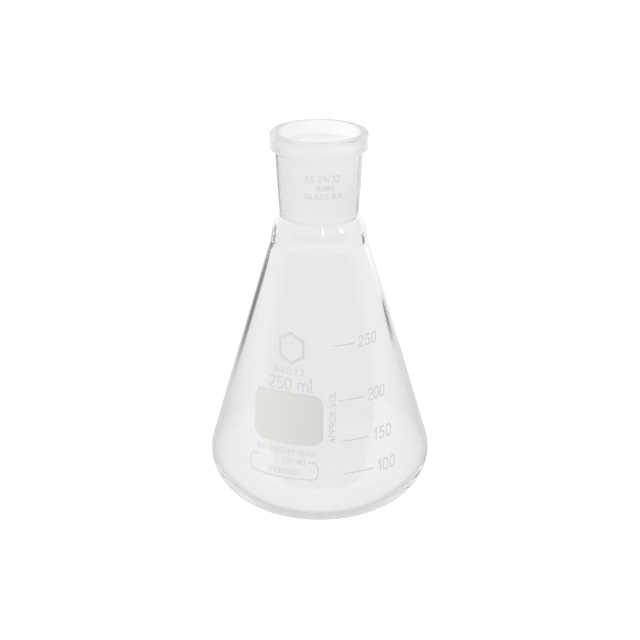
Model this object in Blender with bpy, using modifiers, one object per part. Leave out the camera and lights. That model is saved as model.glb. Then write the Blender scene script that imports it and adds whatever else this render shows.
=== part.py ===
"""Conical (Erlenmeyer) laboratory flask, 250 ml, with a 29/32 ground conical socket.

The glass is two turned pieces that the glassblower seals together in the flame:
the blown vessel and the socket tube with its beaded rim.  The scale, the figures
and the writing panel are fired-on enamel, each a thin skin of its own that
follows the cone.

Frame: origin at the centre of the foot, +Z up the axis, the print faces -Y.
Everything is in metres; the constants below are in millimetres.
"""

import math

import bmesh
import bpy
from mathutils import Vector
from mathutils.geometry import delaunay_2d_cdt

MM = 0.001

# ---------------------------------------------------------------- dimensions
SEGMENTS = 72            # facets round the axis

HEIGHT = 140.0
BODY_RADIUS = 42.5       # widest point, 85 mm across
BELLY_HEIGHT = 13.5      # height of the widest point
FOOT_INNER = 29.0        # the ring that the flask stands on
FOOT_OUTER = 31.6
PUSH_UP = 1.4            # rise of the underside at the centre
HEEL_FLAT_HANDLE = 5.4   # how far the heel runs on flat, and on upright
HEEL_UPRIGHT_HANDLE = 6.4
BELLY_ARC = 16.8         # radius that turns the belly into the cone

CONE_TOP_HEIGHT = 99.5
CONE_TOP_RADIUS = 17.90
SHOULDER = (             # the rolled shoulder, up to the seal
    (17.90, 99.5),
    (17.46, 102.2),
    (17.17, 104.0),
    (16.52, 106.2),
    (15.55, 107.75),
    (14.75, 108.75),
    (14.44, 109.3),
)

FLOOR_WALL = 2.4
BODY_WALL = 1.8
SHOULDER_WALL = 1.55
SEAL_WALL = 1.38

SEAL_GAP = 0.3           # the two glass pieces are kept this far apart
SOCKET_FOOT = SHOULDER[-1][1] + SEAL_GAP
SOCKET_FOOT_RADIUS = 14.44
TUBE_TOP = 131.0
TUBE_TOP_RADIUS = 15.6

BORE_TOP_RADIUS = 14.6   # 29.2 mm at the mouth
BORE_TAPER = 0.05        # 1 in 10 on the diameter
MOUTH_ROUND = 0.5

BEAD_RADIUS = 17.6
BEAD_ROUND = 1.0
BEAD_BOTTOM = 135.0

ENAMEL_LIFT = 0.06       # clear of the faceted glass
ENAMEL = 0.10            # thickness of a mark
LINE = 0.45              # height of a scale line
FIGURE_STROKE = 0.45     # stroke width of the large and the small letters
LEGEND_STROKE = 0.34

# Marks are placed by u, the distance round the cone from the front at their
# own height (positive towards +X), and by height.
SCALE_MARKS = (          # figure, height, line from u to u, figure from u to u, its foot and height
    ("250", 68.5, 5.0, 13.1, 14.8, 23.0, 66.9, 3.5),
    ("200", 49.3, 6.7, 16.3, 18.4, 26.2, 47.6, 3.8),
    ("150", 35.0, 8.0, 18.3, 20.7, 29.0, 33.2, 3.8),
    ("100", 23.4, 9.0, 20.4, 22.4, 30.3, 21.8, 3.8),
)
FIGURE_TILT = -2.5       # degrees

PANEL_U = (-25.9, 1.3)
PANEL_Z = (33.9, 51.1)
PANEL_CORNER = 3.6
PANEL_CROWN = 0.7        # how much the panel's upper and lower edges bow

CAPACITY_U = (-19.4, -2.5)
CAPACITY_Z = 52.5
CAPACITY_HEIGHT = 4.6    # to the top of the l
GLASS_TYPE_U = (-17.4, -5.8)
GLASS_TYPE_Z = 58.2
GLASS_TYPE_HEIGHT = 2.1
CAPTION_U = 5.7          # foot of the upright caption's letters
CAPTION_Z = (34.9, 53.0)
CAPTION_HEIGHT = 2.2

EMBLEM_CENTRE = (-10.4, 67.2)
EMBLEM_RADIUS = 5.2
EMBLEM_STROKE = 1.0

BOX_U = (-27.6, -0.7)
BOX_Z = (21.6, 27.7)
BOX_CORNER = 2.2
BOX_STROKE = 0.45


# ------------------------------------------------------------------- helpers
def clear_scene():
    for obj in list(bpy.data.objects):
        bpy.data.objects.remove(obj, do_unlink=True)


def new_collection(name):
    collection = bpy.data.collections.new(name)
    bpy.context.scene.collection.children.link(collection)
    return collection


def new_material(name, colour, roughness, transmission=0.0, ior=1.5):
    material = bpy.data.materials.new(name)
    material.use_nodes = True
    shader = material.node_tree.nodes["Principled BSDF"]
    shader.inputs["Base Color"].default_value = (*colour, 1.0)
    shader.inputs["Roughness"].default_value = roughness
    shader.inputs["Metallic"].default_value = 0.0
    shader.inputs["IOR"].default_value = ior
    shader.inputs["Transmission Weight"].default_value = transmission
    material.diffuse_color = (*colour, 1.0)
    return material


def bezier(p0, p1, p2, p3, count):
    """count points along a cubic, without its first end."""
    points = []
    for i in range(1, count + 1):
        t = i / count
        s = 1 - t
        points.append(
            tuple(
                s**3 * a + 3 * s * s * t * b + 3 * s * t * t * c + t**3 * d
                for a, b, c, d in zip(p0, p1, p2, p3)
            )
        )
    return points


def arc(centre, radius, start, end, count):
    """count + 1 points on a circle in the profile's plane, angles in degrees."""
    return [
        (
            centre[0] + radius * math.cos(math.radians(start + (end - start) * i / count)),
            centre[1] + radius * math.sin(math.radians(start + (end - start) * i / count)),
        )
        for i in range(count + 1)
    ]


def through(stations, steps):
    """A Catmull-Rom curve through the stations, without its first end."""
    ends = [
        tuple(2 * a - b for a, b in zip(stations[0], stations[1])),
        *stations,
        tuple(2 * a - b for a, b in zip(stations[-1], stations[-2])),
    ]
    points = []
    for k in range(1, len(ends) - 2):
        for i in range(1, steps + 1):
            t = i / steps
            points.append(
                tuple(
                    0.5
                    * (
                        2 * b
                        + (c - a) * t
                        + (2 * a - 5 * b + 4 * c - d) * t * t
                        + (3 * b - a - 3 * c + d) * t**3
                    )
                    for a, b, c, d in zip(*ends[k - 1 : k + 3])
                )
            )
    return points


CONE_SLOPE = math.tan(
    math.radians(16.32)
)  # the arc of the belly ends where it meets the cone's own angle
CONE_ANGLE = math.atan(CONE_SLOPE)
CONE_FOOT = (
    BODY_RADIUS - BELLY_ARC * (1 - math.cos(CONE_ANGLE)),
    BELLY_HEIGHT + BELLY_ARC * math.sin(CONE_ANGLE),
)


def cone_radius(z):
    """Outer radius of the cone at a height between the belly and the shoulder."""
    share = (z - CONE_FOOT[1]) / (CONE_TOP_HEIGHT - CONE_FOOT[1])
    return CONE_FOOT[0] + (CONE_TOP_RADIUS - CONE_FOOT[0]) * share


def wall_thickness(z):
    stations = (
        (0.0, FLOOR_WALL),
        (BELLY_HEIGHT, BODY_WALL),
        (CONE_TOP_HEIGHT, BODY_WALL),
        (105.0, SHOULDER_WALL),
        (SHOULDER[-1][1], SEAL_WALL),
    )
    for (z0, t0), (z1, t1) in zip(stations, stations[1:]):
        if z <= z1:
            return t0 + (t1 - t0) * max(0.0, (z - z0) / (z1 - z0))
    return stations[-1][1]


def outer_wall(heel_steps, belly_steps, shoulder_steps):
    """The vessel's outside from the edge of the foot up to the seal."""
    points = [(FOOT_OUTER, 0.0)]
    points += bezier(
        (FOOT_OUTER, 0.0),
        (FOOT_OUTER + HEEL_FLAT_HANDLE, 0.0),
        (BODY_RADIUS, BELLY_HEIGHT - HEEL_UPRIGHT_HANDLE),
        (BODY_RADIUS, BELLY_HEIGHT),
        heel_steps,
    )
    points += arc(
        (BODY_RADIUS - BELLY_ARC, BELLY_HEIGHT),
        BELLY_ARC,
        0.0,
        math.degrees(CONE_ANGLE),
        belly_steps,
    )[1:]
    points.append((CONE_TOP_RADIUS, CONE_TOP_HEIGHT))
    points += through(SHOULDER, shoulder_steps)
    return points


def inner_wall(outside):
    """The outside moved in by the wall's thickness along its own normals."""
    inside = []
    for i, (r, z) in enumerate(outside):
        before = outside[max(i - 1, 0)]
        after = outside[min(i + 1, len(outside) - 1)]
        if i == 0:
            normal = (0.0, -1.0)
        elif i == len(outside) - 1:
            normal = (1.0, 0.0)
        else:
            dr, dz = after[0] - before[0], after[1] - before[1]
            length = math.hypot(dr, dz)
            normal = (dz / length, -dr / length)
        t = wall_thickness(z)
        inside.append((r - normal[0] * t, z - normal[1] * t))
    return inside


def push_up(r):
    return PUSH_UP * (1 - (r / FOOT_INNER) ** 2) if r < FOOT_INNER else 0.0


def body_profile(heel_steps=7, belly_steps=3, shoulder_steps=1, floor_steps=3):
    outside = outer_wall(heel_steps, belly_steps, shoulder_steps)
    inside = inner_wall(outside)
    floor = [FOOT_INNER * i / floor_steps for i in range(floor_steps + 1)]
    profile = [(r, push_up(r) + FLOOR_WALL) for r in floor]
    profile += inside
    profile += outside[::-1]
    profile += [(r, push_up(r)) for r in floor[::-1]]
    return profile


def bore_radius(z):
    return BORE_TOP_RADIUS - BORE_TAPER * (HEIGHT - z)


def socket_profile(round_steps=3, fillet_steps=4):
    """A closed loop: down the outside, in under the foot, up the bore, out over the rim."""
    profile = [(BORE_TOP_RADIUS + MOUTH_ROUND, HEIGHT)]
    profile += arc(
        (BEAD_RADIUS - BEAD_ROUND, HEIGHT - BEAD_ROUND), BEAD_ROUND, 90, 0, round_steps
    )
    profile += arc(
        (BEAD_RADIUS - BEAD_ROUND, BEAD_BOTTOM), BEAD_ROUND, 0, -60, round_steps - 1
    )
    start = profile[-1]
    profile += bezier(
        start,
        (start[0] - 0.75, start[1] - 0.42),
        (TUBE_TOP_RADIUS + 0.10, TUBE_TOP + 1.5),
        (TUBE_TOP_RADIUS, TUBE_TOP),
        fillet_steps,
    )
    profile.append((SOCKET_FOOT_RADIUS, SOCKET_FOOT))
    profile.append((bore_radius(SOCKET_FOOT), SOCKET_FOOT))
    profile += arc(
        (BORE_TOP_RADIUS + MOUTH_ROUND, HEIGHT - MOUTH_ROUND),
        MOUTH_ROUND,
        180,
        90,
        round_steps - 1,
    )[:-1]
    return profile


def turned(name, profile, closed, material, collection):
    """Spins a profile round the axis with a Screw and keeps the result as a mesh."""
    mesh = bpy.data.meshes.new(name + "_profile")
    points = [(r * MM, 0.0, z * MM) for r, z in profile]
    edges = [(i, i + 1) for i in range(len(points) - 1)]
    if closed:
        edges.append((len(points) - 1, 0))
    mesh.from_pydata(points, edges, [])
    source = bpy.data.objects.new(name + "_profile", mesh)
    bpy.context.scene.collection.objects.link(source)
    screw = source.modifiers.new("Screw", "SCREW")
    screw.axis = "Z"
    screw.angle = 2 * math.pi
    screw.steps = screw.render_steps = SEGMENTS
    screw.use_merge_vertices = True
    screw.merge_threshold = 0.00001
    screw.use_smooth_shade = True
    return baked(name, source, material, collection, smooth=35)


def baked(name, source, material, collection, smooth=None, change=None):
    """The object that source evaluates to, as a plain mesh with its doubles welded."""
    bpy.context.view_layer.update()
    graph = bpy.context.evaluated_depsgraph_get()
    mesh = bpy.data.meshes.new_from_object(source.evaluated_get(graph))
    mesh.name = name
    mesh.transform(source.matrix_world)
    bpy.data.objects.remove(source, do_unlink=True)
    bm = bmesh.new()
    bm.from_mesh(mesh)
    bmesh.ops.remove_doubles(bm, verts=bm.verts, dist=0.000001)
    if change:
        change(bm)
    bm.to_mesh(mesh)
    bm.free()
    mesh.materials.clear()
    mesh.materials.append(material)
    if smooth:
        mesh.shade_smooth()
        mesh.set_sharp_from_angle(angle=math.radians(smooth))
    obj = bpy.data.objects.new(name, mesh)
    collection.objects.link(obj)
    return obj


def on_cone(u, z, lift):
    """The point at u round the cone and height z, lift above the glass along its normal."""
    radius = cone_radius(z)
    phi = u / radius
    r = radius + lift * math.cos(CONE_ANGLE)
    return (
        r * math.sin(phi) * MM,
        -r * math.cos(phi) * MM,
        (z + lift * math.sin(CONE_ANGLE)) * MM,
    )


def skin(name, columns, rows, place, material, collection, ring=False):
    """An enamel patch: a grid whose points place(s, t) puts on the cone, thickened outwards."""
    bm = bmesh.new()
    bmesh.ops.create_grid(bm, x_segments=columns, y_segments=rows, size=0.5)
    for vert in bm.verts:
        u, z = place(vert.co.x + 0.5, vert.co.y + 0.5)
        vert.co = on_cone(u, z, ENAMEL_LIFT)
    if ring:
        bmesh.ops.remove_doubles(bm, verts=bm.verts, dist=0.00001)
    outwards(bm)
    return enamel(name, bm, material, collection)


def stroke(points, width, closed=False):
    """place() for skin(): a ribbon of this width along the points."""
    count = len(points) if closed else len(points) - 1

    def corner(i):
        here = points[i % len(points)] if closed else points[i]
        if closed:
            before, after = points[(i - 1) % len(points)], points[(i + 1) % len(points)]
        else:
            before, after = points[max(i - 1, 0)], points[min(i + 1, len(points) - 1)]
        ways = []
        for p, q in ((before, here), (here, after)):
            length = math.hypot(q[0] - p[0], q[1] - p[1])
            if length > 1e-9:
                ways.append(((q[0] - p[0]) / length, (q[1] - p[1]) / length))
        dx = sum(w[0] for w in ways) / len(ways)
        dz = sum(w[1] for w in ways) / len(ways)
        stretch = dx * dx + dz * dz
        return here, (-dz / stretch, dx / stretch)

    def place(s, t):
        here, side = corner(round(s * count))
        off = (t - 0.5) * width
        return here[0] + side[0] * off, here[1] + side[1] * off

    return place, count


# ------------------------------------------------------------------- letters
# A monoline hand for the enamel: every letter is a few smooth runs of one
# stroke width.  A run is a list of points; the cap height is 1.
def bend(cx, cy, rx, ry, start, end, fine):
    """Points along an elliptical arc, fine of them in each quarter turn."""
    count = max(2, round(abs(end - start) / 90 * fine))
    return [
        (
            cx + rx * math.cos(math.radians(start + (end - start) * i / count)),
            cy + ry * math.sin(math.radians(start + (end - start) * i / count)),
        )
        for i in range(count + 1)
    ]


def corners(*points):
    return [[p, q] for p, q in zip(points, points[1:])]


def oval(width, fine):
    r = width / 2
    run = bend(r, 1 - r, r, r, 0, 180, fine) + bend(r, r, r, r, 180, 360, fine)
    return [run + run[:1]]


def bowl(x, foot, top, fine):
    """The round of a B, P or R: out from the stem, round, and back."""
    r = (top - foot) / 2
    return [(0, top)] + bend(x, foot + r, r, r, 90, -90, fine) + [(0, foot)]


def letter(char, fine):
    """(runs, width) of one letter."""
    stem = [(0, 0), (0, 1)]
    if char == "0":
        return oval(0.54, fine), 0.54
    if char == "O":
        return oval(0.62, fine), 0.62
    if char == "1":
        return corners((0.0, 0.72), (0.27, 1.0), (0.27, 0.0)), 0.30
    if char == "2":
        top = bend(0.27, 0.73, 0.26, 0.27, 165, -32, fine)
        return [top + [(0.0, 0.0)], [(0.0, 0.0), (0.55, 0.0)]], 0.55
    if char == "3":
        upper = bend(0.26, 0.755, 0.24, 0.245, 155, -90, fine)
        lower = bend(0.26, 0.255, 0.28, 0.255, 90, -155, fine)
        return [upper, lower], 0.54
    if char == "5":
        round_part = bend(0.26, 0.31, 0.28, 0.31, 135, -150, fine)
        return corners((0.50, 1.0), (0.09, 1.0), round_part[0]) + [round_part], 0.54
    if char == "m":
        arch = bend(0.21, 0.49, 0.21, 0.21, 180, 0, fine) + [(0.42, 0)]
        second = [(x + 0.42, y) for x, y in arch]
        return [[(0, 0), (0, 0.70)], arch, second], 0.84
    if char == "l":
        return [[(0, 1.12)] + bend(0.14, 0.14, 0.14, 0.14, 180, 270, fine)], 0.16
    if char == ".":
        return [[(0, 0.0), (0.02, 0.0)]], 0.02
    if char == "A":
        return corners((0, 0), (0.31, 1), (0.62, 0)) + [[(0.10, 0.32), (0.52, 0.32)]], 0.62
    if char == "B":
        return [stem, bowl(0.28, 0.52, 1.0, fine), bowl(0.28, 0.0, 0.52, fine)], 0.55
    if char == "L":
        return corners((0, 1), (0, 0), (0.46, 0)), 0.46
    if char == "P":
        return [stem, bowl(0.28, 0.46, 1.0, fine)], 0.55
    if char == "R":
        return [stem, bowl(0.28, 0.48, 1.0, fine), [(0.24, 0.48), (0.54, 0)]], 0.55
    if char == "V":
        return corners((0, 1), (0.30, 0), (0.60, 1)), 0.60
    if char == "X":
        return [[(0, 0), (0.58, 1)], [(0, 1), (0.58, 0)]], 0.58
    raise ValueError(f"no letter {char!r}")


def ribbon(run, half):
    """Quads of a stroke along a smooth run, mitred where it bends."""
    closed = math.dist(run[0], run[-1]) < 1e-9
    points = run[:-1] if closed else run
    sides = []
    for i, here in enumerate(points):
        before = points[i - 1] if i or closed else None
        after = points[(i + 1) % len(points)] if i + 1 < len(points) or closed else None
        ways = []
        for p, q in ((before, here), (here, after)):
            if p and q:
                length = math.dist(p, q)
                ways.append(((q[0] - p[0]) / length, (q[1] - p[1]) / length))
        dx, dy = (sum(w[k] for w in ways) / len(ways) for k in (0, 1))
        reach = half / (dx * dx + dy * dy)
        sides.append(
            (
                (here[0] + dy * reach, here[1] - dx * reach),
                (here[0] - dy * reach, here[1] + dx * reach),
            )
        )
    pairs = list(zip(sides, sides[1:] + sides[:1] if closed else sides[1:]))
    return [[a[0], b[0], b[1], a[1]] for a, b in pairs], closed


def outline(char, stroke_width, fine):
    """A letter as triangles that cover all of its strokes once: (points, faces)."""
    runs, width = letter(char, fine)
    shapes = []
    for run in runs:
        quads, closed = ribbon(run, stroke_width / 2)
        shapes += quads
        if not closed:
            shapes += [
                bend(x, y, stroke_width / 2, stroke_width / 2, 0, 360, fine)[:-1]
                for x, y in (run[0], run[-1])
            ]
    points, faces = [], []
    for shape in shapes:
        faces.append(list(range(len(points), len(points) + len(shape))))
        points += [Vector(p) for p in shape]
    found = delaunay_2d_cdt(points, [], faces, 1, 1e-5)
    made_points, made_faces, covered_by = found[0], found[2], found[5]
    return made_points, [f for f, by in zip(made_faces, covered_by) if by], width


def lettering(name, text, box, stroke_width, material, collection, turn=0.0, fine=3):
    """Enamel letters that fill box (u0, z0, width, height), each letter its own object.

    The box holds the letters' centre lines, and stroke_width is in millimetres.
    turn tips them, in degrees, about the box's lower left corner.
    """
    u0, z0, width, height = box
    gap, space = 0.26, 0.42
    cursor, places = 0.0, []
    for char in text:
        if char == " ":
            cursor += space
            continue
        places.append((char, cursor))
        cursor += letter(char, 2)[1] + gap
    across = width / (cursor - gap)
    tall = height / (1.12 if "l" in text else 1.0)
    cosine, sine = math.cos(math.radians(turn)), math.sin(math.radians(turn))
    made = []
    for number, (char, left) in enumerate(places, 1):
        points, faces, _ = outline(char, stroke_width / tall, fine)
        bm = bmesh.new()
        verts = [bm.verts.new((p.x, p.y, 0)) for p in points]
        for face in faces:
            bm.faces.new([verts[i] for i in face])
        bmesh.ops.delete(
            bm, geom=[v for v in bm.verts if not v.link_faces], context="VERTS"
        )
        bmesh.ops.remove_doubles(bm, verts=bm.verts, dist=0.004)
        bmesh.ops.dissolve_limit(
            bm, angle_limit=math.radians(1), verts=bm.verts, edges=bm.edges
        )
        bmesh.ops.triangulate(bm, faces=bm.faces)
        middle = letter(char, 2)[1] / 2
        for vert in bm.verts:
            # the stroke keeps its own width when the text is set wider or narrower
            x = (left + middle) * across + (vert.co.x - middle) * (across + tall) / 2
            y = vert.co.y * tall
            vert.co = on_cone(
                u0 + x * cosine - y * sine, z0 + x * sine + y * cosine, ENAMEL_LIFT
            )
        outwards(bm)
        made.append(enamel(f"{name}_{number}", bm, material, collection))
    return made


def outwards(bm):
    bmesh.ops.recalc_face_normals(bm, faces=bm.faces)
    if sum(f.normal.dot(f.calc_center_median()) for f in bm.faces) < 0:
        bmesh.ops.reverse_faces(bm, faces=bm.faces)


def enamel(name, bm, material, collection):
    """The open patch in bm as an object, thickened away from the glass."""
    mesh = bpy.data.meshes.new(name)
    bm.to_mesh(mesh)
    bm.free()
    mesh.materials.append(material)
    mesh.shade_smooth()
    obj = bpy.data.objects.new(name, mesh)
    collection.objects.link(obj)
    solid = obj.modifiers.new("Solidify", "SOLIDIFY")
    solid.thickness = ENAMEL * MM
    solid.offset = 1.0
    return obj


# ------------------------------------------------------------------- the marks
def panel_place(s, t):
    """The writing panel: a rounded rectangle with gently bowed long edges."""
    middle = (PANEL_U[0] + PANEL_U[1]) / 2
    half = (PANEL_U[1] - PANEL_U[0]) / 2
    x = -half * math.cos(math.pi * s)          # columns crowd at the rounded ends
    inset = max(0.0, abs(x) - (half - PANEL_CORNER))
    drop = PANEL_CORNER - math.sqrt(max(0.0, PANEL_CORNER**2 - inset**2))
    drop = min(drop, PANEL_CORNER * 0.985)
    crown = PANEL_CROWN * (1 - (x / half) ** 2)
    low = PANEL_Z[0] - crown * 0.5 + drop
    high = PANEL_Z[1] + crown - drop
    return middle + x, low + (high - low) * t


def bar_place(u0, u1, height):
    def place(s, t):
        return u0 + (u1 - u0) * s, height + (t - 0.5) * LINE

    return place


def hexagon(centre, radius, steps):
    corners = [
        (
            centre[0] + radius * math.sin(math.radians(60 * k)),
            centre[1] + radius * math.cos(math.radians(60 * k)),
        )
        for k in range(6)
    ]
    points = []
    for k in range(6):
        p, q = corners[k], corners[(k + 1) % 6]
        points += [
            (p[0] + (q[0] - p[0]) * i / steps, p[1] + (q[1] - p[1]) * i / steps)
            for i in range(steps)
        ]
    return points


def open_box():
    """The code box: a rounded tray, open at the top where its heading stands."""
    (u0, u1), (z0, z1), c = BOX_U, BOX_Z, BOX_CORNER
    points = [(u0 + 3.4, z1), (u0 + c, z1)]
    points += [
        (u0 + c + c * math.cos(a), z1 - c + c * math.sin(a))
        for a in (math.radians(90 + 90 * i / 4) for i in range(1, 5))
    ]
    points += [
        (u0 + c + c * math.cos(a), z0 + c + c * math.sin(a))
        for a in (math.radians(180 + 90 * i / 4) for i in range(5))
    ]
    span = u1 - u0 - 2 * c
    points += [(u0 + c + span * i / 12, z0) for i in range(1, 13)]
    points += [
        (u1 - c + c * math.cos(a), z0 + c + c * math.sin(a))
        for a in (math.radians(270 + 90 * i / 4) for i in range(1, 5))
    ]
    points += [
        (u1 - c + c * math.cos(a), z1 - c + c * math.sin(a))
        for a in (math.radians(90 * i / 4) for i in range(5))
    ]
    return points


# ------------------------------------------------------------------- the flask
def build():
    clear_scene()
    flask = new_collection("erlenmeyer_flask")

    clear_glass = new_material("clear_glass", (0.93, 0.95, 0.95), 0.02, 1.0, 1.473)
    ground_glass = new_material("ground_glass", (0.90, 0.91, 0.92), 0.35, 1.0, 1.473)
    panel_enamel = new_material("panel_enamel", (0.72, 0.72, 0.68), 0.45)
    scale_enamel = new_material("scale_enamel", (0.62, 0.62, 0.64), 0.45)
    figure_enamel = new_material("figure_enamel", (0.63, 0.63, 0.65), 0.45)
    legend_enamel = new_material("legend_enamel", (0.60, 0.60, 0.63), 0.45)
    emblem_enamel = new_material("emblem_enamel", (0.60, 0.60, 0.62), 0.45)

    turned("flask_body", body_profile(), False, clear_glass, flask)
    turned("ground_socket", socket_profile(), True, ground_glass, flask)

    skin("writing_panel", 22, 6, panel_place, panel_enamel, flask)

    for figure, height, u0, u1, left, right, foot, tall in SCALE_MARKS:
        skin(
            f"scale_line_{figure}", 8, 1, bar_place(u0, u1, height), scale_enamel, flask
        )
        box = (left, foot, right - left, tall)
        lettering(
            f"figure_{figure}", figure, box, FIGURE_STROKE, figure_enamel, flask, FIGURE_TILT
        )

    (u0, u1), height = CAPACITY_U, CAPACITY_HEIGHT
    box = (u0, CAPACITY_Z, u1 - u0, height)
    lettering("capacity_mark", "250 ml", box, FIGURE_STROKE, legend_enamel, flask)
    (u0, u1), height = GLASS_TYPE_U, GLASS_TYPE_HEIGHT
    box = (u0, GLASS_TYPE_Z, u1 - u0, height)
    lettering("glass_type_mark", "BORO 3.3", box, LEGEND_STROKE, legend_enamel, flask)
    (z0, z1), height = CAPTION_Z, CAPTION_HEIGHT
    box = (CAPTION_U, z0, z1 - z0, height)
    lettering("volume_caption", "APPROX. VOL.", box, LEGEND_STROKE, legend_enamel, flask, 90)

    place, count = stroke(hexagon(EMBLEM_CENTRE, EMBLEM_RADIUS, 4), EMBLEM_STROKE, True)
    skin("hexagon_emblem", count, 1, place, emblem_enamel, flask, ring=True)
    place, count = stroke(open_box(), BOX_STROKE)
    skin("code_box_outline", count, 1, place, legend_enamel, flask)


build()
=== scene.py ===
"""A conical (Erlenmeyer) flask with a ground socket: the fine glass, the fired enamel,
the studio round it and the camera.  Metres, +Z up; the print faces -Y.
The constants below are in millimetres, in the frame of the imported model.
"""

import math

import bmesh
import bpy
from mathutils import Matrix, Vector
from mathutils.geometry import delaunay_2d_cdt


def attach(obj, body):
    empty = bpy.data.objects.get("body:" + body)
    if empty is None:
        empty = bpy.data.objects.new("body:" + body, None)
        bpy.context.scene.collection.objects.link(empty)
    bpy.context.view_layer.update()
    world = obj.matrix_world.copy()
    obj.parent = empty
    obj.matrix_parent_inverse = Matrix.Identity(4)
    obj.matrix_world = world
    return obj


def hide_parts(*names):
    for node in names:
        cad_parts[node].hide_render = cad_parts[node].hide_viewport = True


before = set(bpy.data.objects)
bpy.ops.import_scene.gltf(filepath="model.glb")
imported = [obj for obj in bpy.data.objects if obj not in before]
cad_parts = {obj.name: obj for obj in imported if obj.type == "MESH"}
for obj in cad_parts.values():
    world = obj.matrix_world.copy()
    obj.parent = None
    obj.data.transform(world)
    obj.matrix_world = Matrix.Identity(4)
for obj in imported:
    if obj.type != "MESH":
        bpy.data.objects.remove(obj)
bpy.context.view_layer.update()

MM = 0.001

# ---------------------------------------------------------------- the flask's sizes
HEIGHT = 140.0
BODY_RADIUS = 42.5
BELLY_HEIGHT = 13.5
FOOT_INNER = 29.0
FOOT_OUTER = 31.6
PUSH_UP = 1.4
HEEL_FLAT_HANDLE = 5.4
HEEL_UPRIGHT_HANDLE = 6.4
BELLY_ARC = 16.8
CONE_TOP_HEIGHT = 99.5
CONE_TOP_RADIUS = 17.90
SHOULDER = (
    (17.90, 99.5),
    (17.46, 102.2),
    (17.17, 104.0),
    (16.52, 106.2),
    (15.55, 107.75),
    (14.75, 108.75),
    (14.44, 109.44),
)
FLOOR_WALL = 2.4
BODY_WALL = 1.8
SHOULDER_WALL = 1.55
SEAL_WALL = 1.38
SOCKET_FOOT = 109.46      # the two pieces all but meet where they are sealed
SOCKET_FOOT_RADIUS = 14.44
TUBE_TOP = 131.0
TUBE_TOP_RADIUS = 15.6
BORE_TOP_RADIUS = 14.6
BORE_TAPER = 0.05
MOUTH_ROUND = 0.5
BEAD_RADIUS = 17.6
BEAD_ROUND = 1.0
BEAD_BOTTOM = 135.0
GROUND = (109.9, 139.3)   # the stretch of the bore that is ground

LIFT = 0.012              # the enamel's underside over the true cone
ENAMEL = 0.055
LINE = 0.45
FIGURE_STROKE = 0.54
LEGEND_STROKE = 0.38
SMALL_STROKE = 0.28

SCALE_MARKS = (
    ("250", 68.5, 5.0, 13.1, 14.8, 23.0, 66.9, 3.5),
    ("200", 49.3, 6.7, 16.3, 18.4, 26.2, 47.6, 3.8),
    ("150", 35.0, 8.0, 18.3, 20.7, 29.0, 33.2, 3.8),
    ("100", 23.4, 9.0, 20.4, 22.4, 30.3, 21.8, 3.8),
)
FIGURE_TILT = -2.5
PANEL_U = (-25.9, 1.3)
PANEL_Z = (33.9, 51.1)
PANEL_CORNER = 3.6
PANEL_CROWN = 0.7
EMBLEM_CENTRE = (-10.4, 67.2)
EMBLEM_RADIUS = 5.2
EMBLEM_STROKE = 1.0
BOX_U = (-27.6, -0.7)
BOX_Z = (21.6, 27.7)
BOX_CORNER = 2.2
BOX_STROKE = 0.45


# ---------------------------------------------------------------- small helpers
def link(obj):
    bpy.context.scene.collection.objects.link(obj)
    return obj


def bezier(p0, p1, p2, p3, count):
    points = []
    for i in range(1, count + 1):
        t = i / count
        s = 1 - t
        points.append(
            tuple(
                s**3 * a + 3 * s * s * t * b + 3 * s * t * t * c + t**3 * d
                for a, b, c, d in zip(p0, p1, p2, p3)
            )
        )
    return points


def arc(centre, radius, start, end, count):
    return [
        (
            centre[0] + radius * math.cos(math.radians(start + (end - start) * i / count)),
            centre[1] + radius * math.sin(math.radians(start + (end - start) * i / count)),
        )
        for i in range(count + 1)
    ]


def through(stations, steps):
    """A Catmull-Rom curve through the stations, without its first end."""
    ends = [
        tuple(2 * a - b for a, b in zip(stations[0], stations[1])),
        *stations,
        tuple(2 * a - b for a, b in zip(stations[-1], stations[-2])),
    ]
    points = []
    for k in range(1, len(ends) - 2):
        for i in range(1, steps + 1):
            t = i / steps
            points.append(
                tuple(
                    0.5
                    * (
                        2 * b
                        + (c - a) * t
                        + (2 * a - 5 * b + 4 * c - d) * t * t
                        + (3 * b - a - 3 * c + d) * t**3
                    )
                    for a, b, c, d in zip(*ends[k - 1 : k + 3])
                )
            )
    return points


CONE_ANGLE = math.radians(16.32)
CONE_FOOT = (
    BODY_RADIUS - BELLY_ARC * (1 - math.cos(CONE_ANGLE)),
    BELLY_HEIGHT + BELLY_ARC * math.sin(CONE_ANGLE),
)


def cone_radius(z):
    share = (z - CONE_FOOT[1]) / (CONE_TOP_HEIGHT - CONE_FOOT[1])
    return CONE_FOOT[0] + (CONE_TOP_RADIUS - CONE_FOOT[0]) * share


def wall_thickness(z):
    stations = (
        (0.0, FLOOR_WALL),
        (BELLY_HEIGHT, BODY_WALL),
        (CONE_TOP_HEIGHT, BODY_WALL),
        (105.0, SHOULDER_WALL),
        (SHOULDER[-1][1], SEAL_WALL),
    )
    for (z0, t0), (z1, t1) in zip(stations, stations[1:]):
        if z <= z1:
            return t0 + (t1 - t0) * max(0.0, (z - z0) / (z1 - z0))
    return stations[-1][1]


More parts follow.
